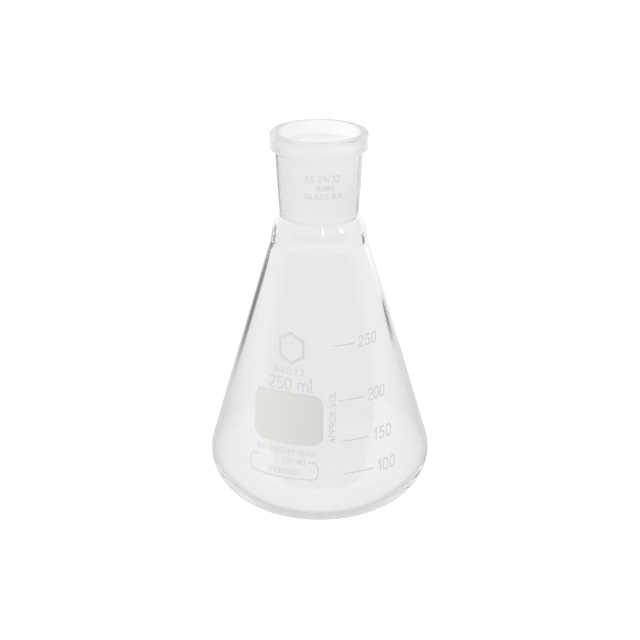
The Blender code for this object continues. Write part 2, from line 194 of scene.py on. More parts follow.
# ---------------------------------------------------------------- the glass, turned
def outer_wall():
    points = [(FOOT_OUTER, 0.0)]
    points += bezier(
        (FOOT_OUTER, 0.0),
        (FOOT_OUTER + HEEL_FLAT_HANDLE, 0.0),
        (BODY_RADIUS, BELLY_HEIGHT - HEEL_UPRIGHT_HANDLE),
        (BODY_RADIUS, BELLY_HEIGHT),
        34,
    )
    points += arc(
        (BODY_RADIUS - BELLY_ARC, BELLY_HEIGHT), BELLY_ARC, 0.0, math.degrees(CONE_ANGLE), 10
    )[1:]
    rings = 34
    points += [
        (
            CONE_FOOT[0] + (CONE_TOP_RADIUS - CONE_FOOT[0]) * i / rings,
            CONE_FOOT[1] + (CONE_TOP_HEIGHT - CONE_FOOT[1]) * i / rings,
        )
        for i in range(1, rings + 1)
    ]
    points += through(SHOULDER, 7)
    return points


def inner_wall(outside):
    inside = []
    for i, (r, z) in enumerate(outside):
        before = outside[max(i - 1, 0)]
        after = outside[min(i + 1, len(outside) - 1)]
        if i == 0:
            normal = (0.0, -1.0)
        elif i == len(outside) - 1:
            normal = (1.0, 0.0)
        else:
            dr, dz = after[0] - before[0], after[1] - before[1]
            length = math.hypot(dr, dz)
            normal = (dz / length, -dr / length)
        t = wall_thickness(z)
        inside.append((r - normal[0] * t, z - normal[1] * t))
    return inside


def push_up(r):
    return PUSH_UP * (1 - (r / FOOT_INNER) ** 2) if r < FOOT_INNER else 0.0


def body_profile():
    """From the middle of the floor up inside, over the seal and down outside."""
    outside = outer_wall()
    inside = inner_wall(outside)
    steps = 16
    floor = [FOOT_INNER * i / steps for i in range(steps + 1)]
    points = [(r, push_up(r) + FLOOR_WALL) for r in floor] + inside
    points += outside[::-1] + [(r, push_up(r)) for r in floor[::-1]]
    return points


def bore_radius(z):
    return BORE_TOP_RADIUS - BORE_TAPER * (HEIGHT - z)


def socket_profile():
    """A closed loop: the rim, down the outside, in under the foot and up the bore."""
    points = [(BORE_TOP_RADIUS + MOUTH_ROUND, HEIGHT)]
    points += arc((BEAD_RADIUS - BEAD_ROUND, HEIGHT - BEAD_ROUND), BEAD_ROUND, 90, 0, 9)
    middle = (BEAD_BOTTOM + HEIGHT - BEAD_ROUND) / 2
    points += [(BEAD_RADIUS + 0.0, middle)]
    points += arc((BEAD_RADIUS - BEAD_ROUND, BEAD_BOTTOM), BEAD_ROUND, 0, -60, 7)
    start = points[-1]
    points += bezier(
        start,
        (start[0] - 0.75, start[1] - 0.42),
        (TUBE_TOP_RADIUS + 0.10, TUBE_TOP + 1.5),
        (TUBE_TOP_RADIUS, TUBE_TOP),
        14,
    )
    rings = 16
    points += [
        (
            TUBE_TOP_RADIUS + (SOCKET_FOOT_RADIUS - TUBE_TOP_RADIUS) * i / rings,
            TUBE_TOP + (SOCKET_FOOT - TUBE_TOP) * i / rings,
        )
        for i in range(1, rings + 1)
    ]
    low = SOCKET_FOOT
    points.append((bore_radius(low), low))
    points += [
        (bore_radius(z), z)
        for z in (
            GROUND[0] + (HEIGHT - MOUTH_ROUND - GROUND[0]) * i / 18 for i in range(19)
        )
    ][:-1]
    points += arc(
        (BORE_TOP_RADIUS + MOUTH_ROUND, HEIGHT - MOUTH_ROUND), MOUTH_ROUND, 180, 90, 6
    )[:-1]
    return points


def turned(name, profile, closed, segments):
    """Spins a profile round the axis with a Screw and keeps the result as a mesh."""
    mesh = bpy.data.meshes.new(name + "_profile")
    edges = [(i, i + 1) for i in range(len(profile) - 1)]
    if closed:
        edges.append((len(profile) - 1, 0))
    mesh.from_pydata([(r * MM, 0.0, z * MM) for r, z in profile], edges, [])
    source = link(bpy.data.objects.new(name + "_profile", mesh))
    screw = source.modifiers.new("Screw", "SCREW")
    screw.axis = "Z"
    screw.angle = 2 * math.pi
    screw.steps = screw.render_steps = segments
    screw.use_merge_vertices = True
    screw.merge_threshold = 0.000002
    screw.use_smooth_shade = True
    bpy.context.view_layer.update()
    graph = bpy.context.evaluated_depsgraph_get()
    made = bpy.data.meshes.new_from_object(source.evaluated_get(graph))
    made.name = name
    bpy.data.objects.remove(source, do_unlink=True)
    bm = bmesh.new()
    bm.from_mesh(made)
    bmesh.ops.remove_doubles(bm, verts=bm.verts, dist=0.000001)
    bmesh.ops.recalc_face_normals(bm, faces=bm.faces)
    bm.to_mesh(made)
    bm.free()
    made.shade_smooth()
    return link(bpy.data.objects.new(name, made))


def ease(value, start, end):
    t = min(1.0, max(0.0, (value - start) / (end - start)))
    return t * t * (3 - 2 * t)


def uneven(obj, inside):
    """The gentle unevenness of a blown wall: the inside drifts in and out by a few hundredths."""
    for vert in obj.data.vertices:
        x, y, z = vert.co
        r = math.hypot(x, y)
        share = inside(r / MM, z / MM) if r > 1e-6 else 0.0
        if not share:
            continue
        phi, h = math.atan2(y, x), z / MM
        drift = (
            0.030 * math.sin(2 * phi + 0.045 * h + 0.6)
            + 0.018 * math.sin(5 * phi - 0.07 * h + 2.1)
            + 0.016 * math.sin(0.16 * h + 1.3)
        )
        k = 1 + share * drift * MM / r
        vert.co = (x * k, y * k, z)


# ---------------------------------------------------------------- enamel letters
def bend(cx, cy, rx, ry, start, end, fine):
    count = max(2, round(abs(end - start) / 90 * fine))
    return [
        (
            cx + rx * math.cos(math.radians(start + (end - start) * i / count)),
            cy + ry * math.sin(math.radians(start + (end - start) * i / count)),
        )
        for i in range(count + 1)
    ]


def corners(*points):
    return [[p, q] for p, q in zip(points, points[1:])]


def oval(width, fine):
    r = width / 2
    run = bend(r, 1 - r, r, r, 0, 180, fine) + bend(r, r, r, r, 180, 360, fine)
    return [run + run[:1]]


def bowl(x, foot, top, fine):
    r = (top - foot) / 2
    return [(0, top)] + bend(x, foot + r, r, r, 90, -90, fine) + [(0, foot)]


def letter(char, fine):
    """(runs, width) of one letter of the monoline hand; the cap height is 1."""
    stem = [(0, 0), (0, 1)]
    if char == "0":
        return oval(0.54, fine), 0.54
    if char == "O":
        return oval(0.62, fine), 0.62
    if char == "1":
        return corners((0.0, 0.72), (0.27, 1.0), (0.27, 0.0)), 0.30
    if char == "2":
        top = bend(0.27, 0.73, 0.26, 0.27, 165, -32, fine)
        return [top + [(0.0, 0.0)], [(0.0, 0.0), (0.55, 0.0)]], 0.55
    if char == "3":
        upper = bend(0.26, 0.755, 0.24, 0.245, 155, -90, fine)
        lower = bend(0.26, 0.255, 0.28, 0.255, 90, -155, fine)
        return [upper, lower], 0.54
    if char == "5":
        round_part = bend(0.26, 0.31, 0.28, 0.31, 135, -150, fine)
        return corners((0.50, 1.0), (0.09, 1.0), round_part[0]) + [round_part], 0.54
    if char == "9":
        ring = bend(0.27, 0.72, 0.26, 0.28, 0, 360, fine)
        return [ring, [(0.53, 0.72)] + bend(0.20, 0.40, 0.33, 0.40, 0, -75, fine)], 0.54
    if char == "m":
        arch = bend(0.21, 0.49, 0.21, 0.21, 180, 0, fine) + [(0.42, 0)]
        second = [(x + 0.42, y) for x, y in arch]
        return [[(0, 0), (0, 0.70)], arch, second], 0.84
    if char == "l":
        return [[(0, 1.12)] + bend(0.14, 0.14, 0.14, 0.14, 180, 270, fine)], 0.16
    if char == ".":
        return [[(0, 0.0), (0.02, 0.0)]], 0.02
    if char == "/":
        return [[(0, -0.08), (0.40, 1.08)]], 0.40
    if char == "A":
        return corners((0, 0), (0.31, 1), (0.62, 0)) + [[(0.10, 0.32), (0.52, 0.32)]], 0.62
    if char == "B":
        return [stem, bowl(0.28, 0.52, 1.0, fine), bowl(0.28, 0.0, 0.52, fine)], 0.55
    if char == "C":
        return [bend(0.31, 0.5, 0.31, 0.5, 48, 312, fine)], 0.56
    if char == "D":
        side = bend(0.16, 0.5, 0.42, 0.5, 90, -90, fine)
        return [stem, [(0, 1)] + side + [(0, 0)]], 0.58
    if char == "E":
        return [stem, [(0, 1), (0.48, 1)], [(0, 0.52), (0.42, 0.52)], [(0, 0), (0.48, 0)]], 0.48
    if char == "G":
        round_part = bend(0.31, 0.5, 0.31, 0.5, 48, 345, fine)
        return [round_part + [(0.61, 0.47), (0.36, 0.47)]], 0.62
    if char == "H":
        return [stem, [(0.56, 0), (0.56, 1)], [(0, 0.52), (0.56, 0.52)]], 0.56
    if char == "I":
        return [stem], 0.02
    if char == "L":
        return corners((0, 1), (0, 0), (0.46, 0)), 0.46
    if char == "N":
        return corners((0, 0), (0, 1), (0.58, 0), (0.58, 1)), 0.58
    if char == "P":
        return [stem, bowl(0.28, 0.46, 1.0, fine)], 0.55
    if char == "R":
        return [stem, bowl(0.28, 0.48, 1.0, fine), [(0.24, 0.48), (0.54, 0)]], 0.55
    if char == "S":
        top = bend(0.26, 0.755, 0.25, 0.245, 50, 270, fine)
        foot = bend(0.26, 0.255, 0.26, 0.255, 90, -140, fine)
        return [top, foot], 0.52
    if char == "T":
        return [[(0, 1), (0.58, 1)], [(0.29, 1), (0.29, 0)]], 0.58
    if char == "V":
        return corners((0, 1), (0.30, 0), (0.60, 1)), 0.60
    if char == "X":
        return [[(0, 0), (0.58, 1)], [(0, 1), (0.58, 0)]], 0.58
    raise ValueError(f"no letter {char!r}")


def ribbon(run, half):
    """Quads of a stroke along a smooth run, mitred where it bends."""
    closed = math.dist(run[0], run[-1]) < 1e-9
    points = run[:-1] if closed else run
    sides = []
    for i, here in enumerate(points):
        before = points[i - 1] if i or closed else None
        after = points[(i + 1) % len(points)] if i + 1 < len(points) or closed else None
        ways = []
        for p, q in ((before, here), (here, after)):
            if p and q and math.dist(p, q) > 1e-9:
                length = math.dist(p, q)
                ways.append(((q[0] - p[0]) / length, (q[1] - p[1]) / length))
        dx, dy = (sum(w[k] for w in ways) / len(ways) for k in (0, 1))
        reach = half / max(dx * dx + dy * dy, 0.25)
        sides.append(
            (
                (here[0] + dy * reach, here[1] - dx * reach),
                (here[0] - dy * reach, here[1] + dx * reach),
            )
        )
    pairs = list(zip(sides, sides[1:] + sides[:1] if closed else sides[1:]))
    return [[a[0], b[0], b[1], a[1]] for a, b in pairs], closed


def union(shapes):
    """Overlapping outlines as triangles that cover all of them once: (points, faces)."""
    points, faces = [], []
    for shape in shapes:
        faces.append(list(range(len(points), len(points) + len(shape))))
        points += [Vector(p) for p in shape]
    found = delaunay_2d_cdt(points, [], faces, 1, 1e-5)
    return found[0], [f for f, by in zip(found[2], found[5]) if by]


def stroke_shapes(runs, half, fine, round_ends=True, round_joints=False):
    shapes = []
    for run in runs:
        quads, closed = ribbon(run, half)
        shapes += quads
        dots = () if closed or not round_ends else (run[0], run[-1])
        for x, y in run if round_joints else dots:
            shapes.append(bend(x, y, half, half, 0, 360, fine)[:-1])
    return shapes


def on_cone(u, z, lift):
    """The point at u round the cone and height z, lift above the glass along its normal."""
    radius = cone_radius(z)
    phi = u / radius
    r = radius + lift * math.cos(CONE_ANGLE)
    return Vector(
        (r * math.sin(phi) * MM, -r * math.cos(phi) * MM, (z + lift * math.sin(CONE_ANGLE)) * MM)
    )


def on_tube(u, z, lift):
    """The same on the socket's outside."""
    share = (z - SOCKET_FOOT) / (TUBE_TOP - SOCKET_FOOT)
    radius = SOCKET_FOOT_RADIUS + (TUBE_TOP_RADIUS - SOCKET_FOOT_RADIUS) * share
    phi = u / radius
    r = radius + lift
    return Vector((r * math.sin(phi) * MM, -r * math.cos(phi) * MM, z * MM))


def fired(name, flat, material, put=on_cone, join=0.0):
    """A closed enamel mark from a flat outline in (u, z): the outline on the glass, its
    copy one enamel's thickness out, a rounded edge between the two.

    flat is a list of (points, faces) in millimetres.
    """
    bm = bmesh.new()
    for points, faces in flat:
        verts = [bm.verts.new((p[0], p[1], 0)) for p in points]
        for face in faces:
            bm.faces.new([verts[i] for i in face])
    bmesh.ops.delete(bm, geom=[v for v in bm.verts if not v.link_faces], context="VERTS")
    if join:
        bmesh.ops.remove_doubles(bm, verts=bm.verts, dist=join)
        bmesh.ops.dissolve_degenerate(bm, edges=bm.edges, dist=join / 4)
    for face in bm.faces:
        if face.normal.z < 0:
            face.normal_flip()
    rim = [e for e in bm.edges if e.is_boundary]
    side = {}
    for edge in rim:
        face = edge.link_faces[0]
        middle = face.calc_center_median()
        for vert in edge.verts:
            a, b = (v.co for v in edge.verts)
            normal = Vector((b.y - a.y, a.x - b.x, 0)).normalized()
            if normal.dot((a + b) / 2 - middle) < 0:
                normal = -normal
            side.setdefault(vert, []).append(normal)
    base = list(bm.verts)
    flat_faces = list(bm.faces)
    place = {v: (v.co.x, v.co.y) for v in base}
    inset = ENAMEL * 0.55
    tops = {}
    for vert in base:
        u, z = place[vert]
        if vert in side:
            out = sum(side[vert], Vector()) / len(side[vert])
            u, z = u - out.x * inset, z - out.y * inset
        tops[vert] = bm.verts.new(put(u, z, LIFT + ENAMEL))
    waist = {}
    for vert in side:
        u, z = place[vert]
        waist[vert] = bm.verts.new(put(u, z, LIFT + ENAMEL * 0.55))
    for vert in base:
        u, z = place[vert]
        vert.co = put(u, z, LIFT)
    for face in flat_faces:
        bm.faces.new([tops[v] for v in face.verts])
        face.normal_flip()
    for edge in rim:
        face = edge.link_faces[0]
        loop = next(l for l in face.loops if l.edge == edge)
        a, b = loop.vert, loop.link_loop_next.vert
        bm.faces.new([b, a, waist[a], waist[b]])
        bm.faces.new([waist[b], waist[a], tops[a], tops[b]])
    bmesh.ops.recalc_face_normals(bm, faces=bm.faces)
    bm.normal_update()
    middle = sum((v.co for v in bm.verts), Vector()) / len(bm.verts)
    outward = sum((f.calc_center_median() - middle).dot(f.normal) * f.calc_area() for f in bm.faces)
    if outward < 0:
        bmesh.ops.reverse_faces(bm, faces=bm.faces)
    mesh = bpy.data.meshes.new(name)
    bm.to_mesh(mesh)
    bm.free()
    mesh.materials.append(material)
    mesh.shade_smooth()
    mesh.set_sharp_from_angle(angle=math.radians(50))
    return link(bpy.data.objects.new(name, mesh))


def letters(text, box, stroke_width, turn=0.0, fine=9):
    """[(points, faces)] of each letter of text, set in box (u0, z0, width, height)."""
    u0, z0, width, height = box
    gap, space = 0.26, 0.42
    cursor, places = 0.0, []
    for char in text:
        if char == " ":
            cursor += space
            continue
        places.append((char, cursor))
        cursor += letter(char, 2)[1] + gap
    across = width / (cursor - gap)
    tall = height / (1.12 if "l" in text else 1.0)
    cosine, sine = math.cos(math.radians(turn)), math.sin(math.radians(turn))
    made = []
    for char, left in places:
        runs, wide = letter(char, fine)
        half = stroke_width / tall / 2
        points, faces = union(stroke_shapes(runs, half, fine))
        placed = []
        for p in points:
            x = (left + wide / 2) * across + (p.x - wide / 2) * (across + tall) / 2
            y = p.y * tall
            placed.append((u0 + x * cosine - y * sine, z0 + x * sine + y * cosine))
        made.append((placed, faces))
    return made


def grid(columns, rows, place):
    points = [
        place(i / columns, j / rows) for j in range(rows + 1) for i in range(columns + 1)
    ]
    faces = [
        [j * (columns + 1) + i, j * (columns + 1) + i + 1,
         (j + 1) * (columns + 1) + i + 1, (j + 1) * (columns + 1) + i]
        for j in range(rows) for i in range(columns)
    ]
    return points, faces


def panel_place(s, t):
    middle = (PANEL_U[0] + PANEL_U[1]) / 2
    half = (PANEL_U[1] - PANEL_U[0]) / 2
    x = -half * math.cos(math.pi * s)
    inset = max(0.0, abs(x) - (half - PANEL_CORNER))
    drop = PANEL_CORNER - math.sqrt(max(0.0, PANEL_CORNER**2 - inset**2))
    drop = min(drop, PANEL_CORNER * 0.985)
    crown = PANEL_CROWN * (1 - (x / half) ** 2)
    low = PANEL_Z[0] - crown * 0.5 + drop
    high = PANEL_Z[1] + crown - drop
    return middle + x, low + (high - low) * t


def hexagon():
    (u, z), r = EMBLEM_CENTRE, EMBLEM_RADIUS
    half = EMBLEM_STROKE / 2 / math.cos(math.radians(30))
    rings = []
    for radius in (r - half, r, r + half):
        tips = [
            (u + radius * math.sin(math.radians(60 * k)), z + radius * math.cos(math.radians(60 * k)))
            for k in range(6)
        ]
        ring = []
        for k in range(6):
            p, q = tips[k], tips[(k + 1) % 6]
            ring += [
                (p[0] + (q[0] - p[0]) * i / 8, p[1] + (q[1] - p[1]) * i / 8) for i in range(8)
            ]
        rings.append(ring)
    count = len(rings[0])
    points = [p for ring in rings for p in ring]
    faces = [
        [j * count + i, j * count + (i + 1) % count,
         (j + 1) * count + (i + 1) % count, (j + 1) * count + i]
        for j in range(2) for i in range(count)
    ]
    return points, faces


def open_box():
    (u0, u1), (z0, z1), c = BOX_U, BOX_Z, BOX_CORNER
    fine = 9
    run = [(u0 + 3.4, z1)]
    run += bend(u0 + c, z1 - c, c, c, 90, 180, fine)
    run += bend(u0 + c, z0 + c, c, c, 180, 270, fine)
    span = u1 - u0 - 2 * c
    run += [(u0 + c + span * i / 24, z0) for i in range(1, 24)]
    run += bend(u1 - c, z0 + c, c, c, 270, 360, fine)
    run += bend(u1 - c, z1 - c, c, c, 0, 90, fine)
    run += [(u1 - 3.4, z1)]
    return run


def bar(u0, u1, height, fine=9):
    """A scale line with round ends: its rows are dense enough to follow the cone."""
    half = LINE / 2
    steps = 24
    run = [(u0 + (u1 - u0) * i / steps, height) for i in range(steps + 1)]
    return union(stroke_shapes([run], half, fine))


# ---------------------------------------------------------------- materials
def nodes_of(name):
    material = bpy.data.materials.new(name)
    material.use_nodes = True
    tree = material.node_tree
    return material, tree, tree.nodes["Principled BSDF"]


def noise(tree, scale, detail=2.0, rough=0.5, stretch=None, seed=0.0):
    where = tree.nodes.new("ShaderNodeTexCoord")
    mapping = tree.nodes.new("ShaderNodeMapping")
    mapping.inputs["Scale"].default_value = stretch or (1, 1, 1)
    mapping.inputs["Location"].default_value = (seed, seed * 0.7, seed * 1.3)
    texture = tree.nodes.new("ShaderNodeTexNoise")
    texture.inputs["Scale"].default_value = scale
    texture.inputs["Detail"].default_value = detail
    texture.inputs["Roughness"].default_value = rough
    tree.links.new(where.outputs["Object"], mapping.inputs["Vector"])
    tree.links.new(mapping.outputs["Vector"], texture.inputs["Vector"])
    return texture.outputs["Fac"]


def spread(tree, value, low, high, start=0.3, end=0.7):
    node = tree.nodes.new("ShaderNodeMapRange")
    node.inputs["From Min"].default_value = start
    node.inputs["From Max"].default_value = end
    node.inputs["To Min"].default_value = low
    node.inputs["To Max"].default_value = high
    tree.links.new(value, node.inputs["Value"])
    return node.outputs["Result"]


def tint(tree, value, dark, light):
    ramp = tree.nodes.new("ShaderNodeValToRGB")
    ramp.color_ramp.elements[0].position = 0.3
    ramp.color_ramp.elements[0].color = (*dark, 1)
    ramp.color_ramp.elements[1].position = 0.7
    ramp.color_ramp.elements[1].color = (*light, 1)
    tree.links.new(value, ramp.inputs["Fac"])
    return ramp.outputs["Color"]


def bump(tree, value, strength, distance, normal=None):
    node = tree.nodes.new("ShaderNodeBump")
    node.inputs["Strength"].default_value = strength
    node.inputs["Distance"].default_value = distance
    tree.links.new(value, node.inputs["Height"])
    if normal:
        tree.links.new(normal, node.inputs["Normal"])
    return node.outputs["Normal"]


GLASS_DARK = (0.912, 0.912, 0.919)
GLASS_LIGHT = (0.920, 0.920, 0.927)
# the neck's copy of the same borosilicate is tinted almost white, far lighter than the body's: painted light that
# brightens the neck
NECK_DARK = (0.988, 0.988, 0.992)
NECK_LIGHT = (0.996, 0.996, 1.000)
FROST_DARK = (0.962, 0.962, 0.968)
FROST_LIGHT = (0.982, 0.982, 0.988)


def make_clear_glass(name, dark, light):
    """Borosilicate: all but colourless, with the faint cords of the drawn melt."""
    material, tree, shader = nodes_of(name)
    shader.inputs["Transmission Weight"].default_value = 1.0
    shader.inputs["IOR"].default_value = 1.473
    cords = noise(tree, 38.0, 2.0, 0.5, (1, 1, 0.28), 3.1)
    tree.links.new(
        tint(tree, noise(tree, 22.0, 1.0, 0.5, (1, 1, 0.4), 1.7), dark, light),
        shader.inputs["Base Color"],
    )
    tree.links.new(spread(tree, cords, 0.0, 0.012), shader.inputs["Roughness"])
    tree.links.new(bump(tree, cords, 0.01, 0.0004), shader.inputs["Normal"])
    return material


def make_ground_glass():
    """The ground bore: fine matt, with the rings that the tapered grinding tool leaves."""
    material, tree, shader = nodes_of("ground_glass")
    shader.inputs["Transmission Weight"].default_value = 0.70
    shader.inputs["IOR"].default_value = 1.473
    grit = noise(tree, 2600.0, 3.0, 0.6, None, 5.0)
    rings = noise(tree, 240.0, 2.0, 0.6, (0.06, 0.06, 6.0), 2.0)
    tree.links.new(
        tint(tree, noise(tree, 300.0, 3.0, 0.6, (0.4, 0.4, 1.6), 9.0), FROST_DARK, FROST_LIGHT),
        shader.inputs["Base Color"],
    )
    tree.links.new(spread(tree, rings, 0.42, 0.54), shader.inputs["Roughness"])
    first = bump(tree, rings, 0.08, 0.0001)
    tree.links.new(bump(tree, grit, 0.12, 0.00004, first), shader.inputs["Normal"])
    return material


def make_enamel(name, dark, light, roughness, grain=1500.0):
    """Fired enamel: matt, faintly mottled, a little pitted."""
    material, tree, shader = nodes_of(name)
    mottle = noise(tree, 1500.0, 3.0, 0.6, None, 7.0)
    pits = noise(tree, grain, 3.0, 0.65, None, 2.0)
    tree.links.new(tint(tree, mottle, dark, light), shader.inputs["Base Color"])
    tree.links.new(
        spread(tree, pits, roughness - 0.08, roughness + 0.10), shader.inputs["Roughness"]
    )
    tree.links.new(bump(tree, pits, 0.30, 0.00003), shader.inputs["Normal"])
    shader.inputs["IOR"].default_value = 1.5
    shader.inputs["Specular IOR Level"].default_value = 0.35
    return material


clear_glass = make_clear_glass("clear_glass", GLASS_DARK, GLASS_LIGHT)
# a lighter copy of the clear glass for the socket: painted light on the neck
brightened_neck_glass = make_clear_glass("brightened_neck_glass", NECK_DARK, NECK_LIGHT)
ground_glass = make_ground_glass()
panel_enamel = make_enamel("panel_enamel", (0.738, 0.731, 0.712), (0.754, 0.747, 0.730), 0.55)
scale_enamel = make_enamel("scale_enamel", (0.760, 0.760, 0.765), (0.800, 0.800, 0.805), 0.50)
figure_enamel = make_enamel("figure_enamel", (0.825, 0.825, 0.830), (0.865, 0.865, 0.870), 0.50)
print_enamel = make_enamel("print_enamel", (0.690, 0.690, 0.695), (0.730, 0.730, 0.735), 0.50)
legend_enamel = make_enamel("legend_enamel", (0.710, 0.710, 0.715), (0.750, 0.750, 0.755), 0.50)
faint_enamel = make_enamel("faint_enamel", (0.740, 0.730, 0.740), (0.775, 0.765, 0.775), 0.50)


# ---------------------------------------------------------------- the two glass pieces
body = turned("blown_vessel", body_profile(), False, 240)


def inside_body(r, z):
    """How freely the inner face drifts here: not at all near the foot, the seal or outside."""
    if z < BELLY_HEIGHT or z > 108 or r > (cone_radius(z) if z > CONE_FOOT[1] else BODY_RADIUS) - 0.9:
        return 0.0
    return ease(z, BELLY_HEIGHT + 1, 30) * ease(-z, -104, -88)


uneven(body, inside_body)
body.data.materials.append(clear_glass)
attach(body, "root")
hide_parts("flask_body")

socket = turned("ground_joint_socket", socket_profile(), True, 240)
socket.data.materials.append(brightened_neck_glass)
socket.data.materials.append(ground_glass)
for polygon in socket.data.polygons:
    x, y, z = polygon.center
    r, z = math.hypot(x, y) / MM, z / MM
    in_bore = GROUND[0] < z < GROUND[1] and r < bore_radius(z) + 0.3
    on_rim = z > HEIGHT - 0.45 and r < BEAD_RADIUS - 0.45
    if in_bore or on_rim:
        polygon.material_index = 1
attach(socket, "root")
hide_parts("ground_socket")

# ---------------------------------------------------------------- the enamel marks
def mark(name, flat, material, replaced=None, put=on_cone, join=0.0):
    piece = fired(name, flat, material, put, join)
    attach(piece, "root")
    if replaced:
        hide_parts(*([replaced] if isinstance(replaced, str) else replaced))
    return piece


mark("fired_panel", [grid(72, 20, panel_place)], panel_enamel, "writing_panel")

for figure, height, u0, u1, left, right, foot, tall in SCALE_MARKS:
    mark(f"fired_line_{figure}", [bar(u0, u1, height)], scale_enamel, f"scale_line_{figure}", join=0.003)
    box = (left, foot, right - left, tall)
    for n, shape in enumerate(letters(figure, box, FIGURE_STROKE, FIGURE_TILT), 1):
        mark(f"fired_figure_{figure}_{n}", [shape], figure_enamel, f"figure_{figure}_{n}", join=0.003)

for n, shape in enumerate(letters("250 ml", (-19.4, 52.5, 16.9, 4.6), FIGURE_STROKE), 1):
    mark(f"fired_capacity_{n}", [shape], print_enamel, f"capacity_mark_{n}", join=0.003)
for n, shape in enumerate(letters("BORO 3.3", (-17.4, 58.2, 11.6, 2.1), LEGEND_STROKE), 1):
    mark(f"fired_glass_type_{n}", [shape], legend_enamel, f"glass_type_mark_{n}", join=0.003)
for n, shape in enumerate(
    letters("APPROX. VOL.", (5.7, 34.9, 18.1, 2.2), LEGEND_STROKE, 90), 1
):
    mark(f"fired_caption_{n}", [shape], faint_enamel, f"volume_caption_{n}", join=0.003)

mark("fired_emblem", [hexagon()], print_enamel, "hexagon_emblem")
mark(
    "fired_code_box",
    [union(stroke_shapes([open_box()], BOX_STROKE / 2, 9))],
    legend_enamel,
    "code_box_outline",
    join=0.003,
)

# legends too fine for the CAD model: generic words and figures
SMALL = (
    ("small_legend_origin", "HEAT RESISTANT GLASS", (-24.6, 30.0, 22.8, 1.9), on_cone),
    ("small_legend_code", "LOT NO.", (-13.6, 26.7, 8.6, 1.8), on_cone),
    ("small_legend_number", "00000000", (-19.6, 22.9, 11.6, 1.9), on_cone),
    ("small_legend_joint_1", "NS 29/32", (-4.6, 125.8, 12.0, 2.2), on_tube),
    ("small_legend_joint_2", "BORO", (-0.8, 122.6, 6.0, 1.7), on_tube),
    ("small_legend_joint_3", "GLASS 3.3", (-5.0, 119.6, 13.0, 1.8), on_tube),
)
for name, text, box, put in SMALL:
    mark(name, letters(text, box, SMALL_STROKE, 0.0, 7), faint_enamel, put=put, join=0.003)

# ---------------------------------------------------------------- the studio
# Clear glass needs two surroundings: what it passes is the white sweep, and what it
# mirrors, outside or by total reflection in its own wall, is a dimmer room. The dark flag
# behind it on the left is no object: it is a painted dark streak in the floor's glow,
# seen only mirrored in the glass.
def value_node(tree, kind, inputs, **settings):
    node = tree.nodes.new(kind)
    for key, value in settings.items():
        setattr(node, key, value)
    for key, value in inputs.items():
        if isinstance(value, bpy.types.NodeSocket):
            tree.links.new(value, node.inputs[key])
        else:
            node.inputs[key].default_value = value
    return node.outputs[0]


def maths(tree, operation, a, b=0.0):
    return value_node(tree, "ShaderNodeMath", {0: a, 1: b}, operation=operation)


def remap(tree, value, start, end, low, high):
    return value_node(
        tree,
        "ShaderNodeMapRange",
        {0: value, 1: start, 2: end, 3: low, 4: high},
        interpolation_type="SMOOTHSTEP",
    )


def ramp_of(tree, value, stops):
    """A grey ramp through (position, brightness) stops."""
    ramp = tree.nodes.new("ShaderNodeValToRGB")
    ramp.color_ramp.interpolation = "EASE"
    spans = ramp.color_ramp.elements
    for k, (position, grey) in enumerate(stops):
        element = spans[k] if k < 2 else spans.new(position)
        element.position = position
        element.color = (grey, grey, grey, 1)
    tree.links.new(value, ramp.inputs[0])
    return ramp.outputs[0]


def mixed(tree, share, a, b):
    """a where share is 0, b where it is 1, for brightnesses."""
    return value_node(tree, "ShaderNodeMix", {0: share, 2: a, 3: b}, data_type="FLOAT")


def mirrored_share(tree, path):
    """1 for light that was mirrored a few times, 0 for light that only passed or was piped along."""
    depth = path.outputs["Glossy Depth"]
    return maths(
        tree,
        "MULTIPLY",
        remap(tree, depth, 0.0, 0.9, 0.0, 1.0),
        remap(tree, depth, 3.0, 9.0, 1.0, 0.0),
    )


def scattered_share(tree, path):
    """1 for light that a matt surface scattered: it lights the enamel's back through the glass."""
    return remap(tree, path.outputs["Diffuse Depth"], 0.0, 0.9, 0.0, 1.0)


def front_share(tree, vector):
    """1 where the vector points to the camera's side of the room, 0 beside and behind."""
    split = tree.nodes.new("ShaderNodeSeparateXYZ")
    tree.links.new(vector, split.inputs[0])
    turn = maths(
        tree, "ARCTAN2", split.outputs[0], maths(tree, "MULTIPLY", split.outputs[1], -1.0)
    )
    turn = maths(tree, "ABSOLUTE", turn)
    return remap(tree, turn, math.radians(60), math.radians(95), 1.0, 0.0)


WHITE = 1.05             # what the camera sees: clips to white
PASSED_FLOOR = 1.04
SCATTERED = 0.76
# a painted dark streak in the floor's glow, seen only mirrored in the glass, stands in for a dark flag: it starts
# beside the flask and widens behind it
PAINTED_FLAG_FROM = (-0.028, 0.0)
PAINTED_FLAG_ANGLE, PAINTED_FLAG_HALF = -26.0, 9.5
PAINTED_FLAG_REACH = (0.11, 0.27)
PAINTED_FLAG_FADE = (0.43, 0.47)
PAINTED_FLAG_GREY = 0.13
# a second, smaller painted dark spot in the floor's glow on the right, seen only mirrored in the glass
PAINTED_SPOT_PLACE = (0.190, 0.213)
PAINTED_SPOT_SIZE = 0.036
PAINTED_SPOT_GREY = 0.06


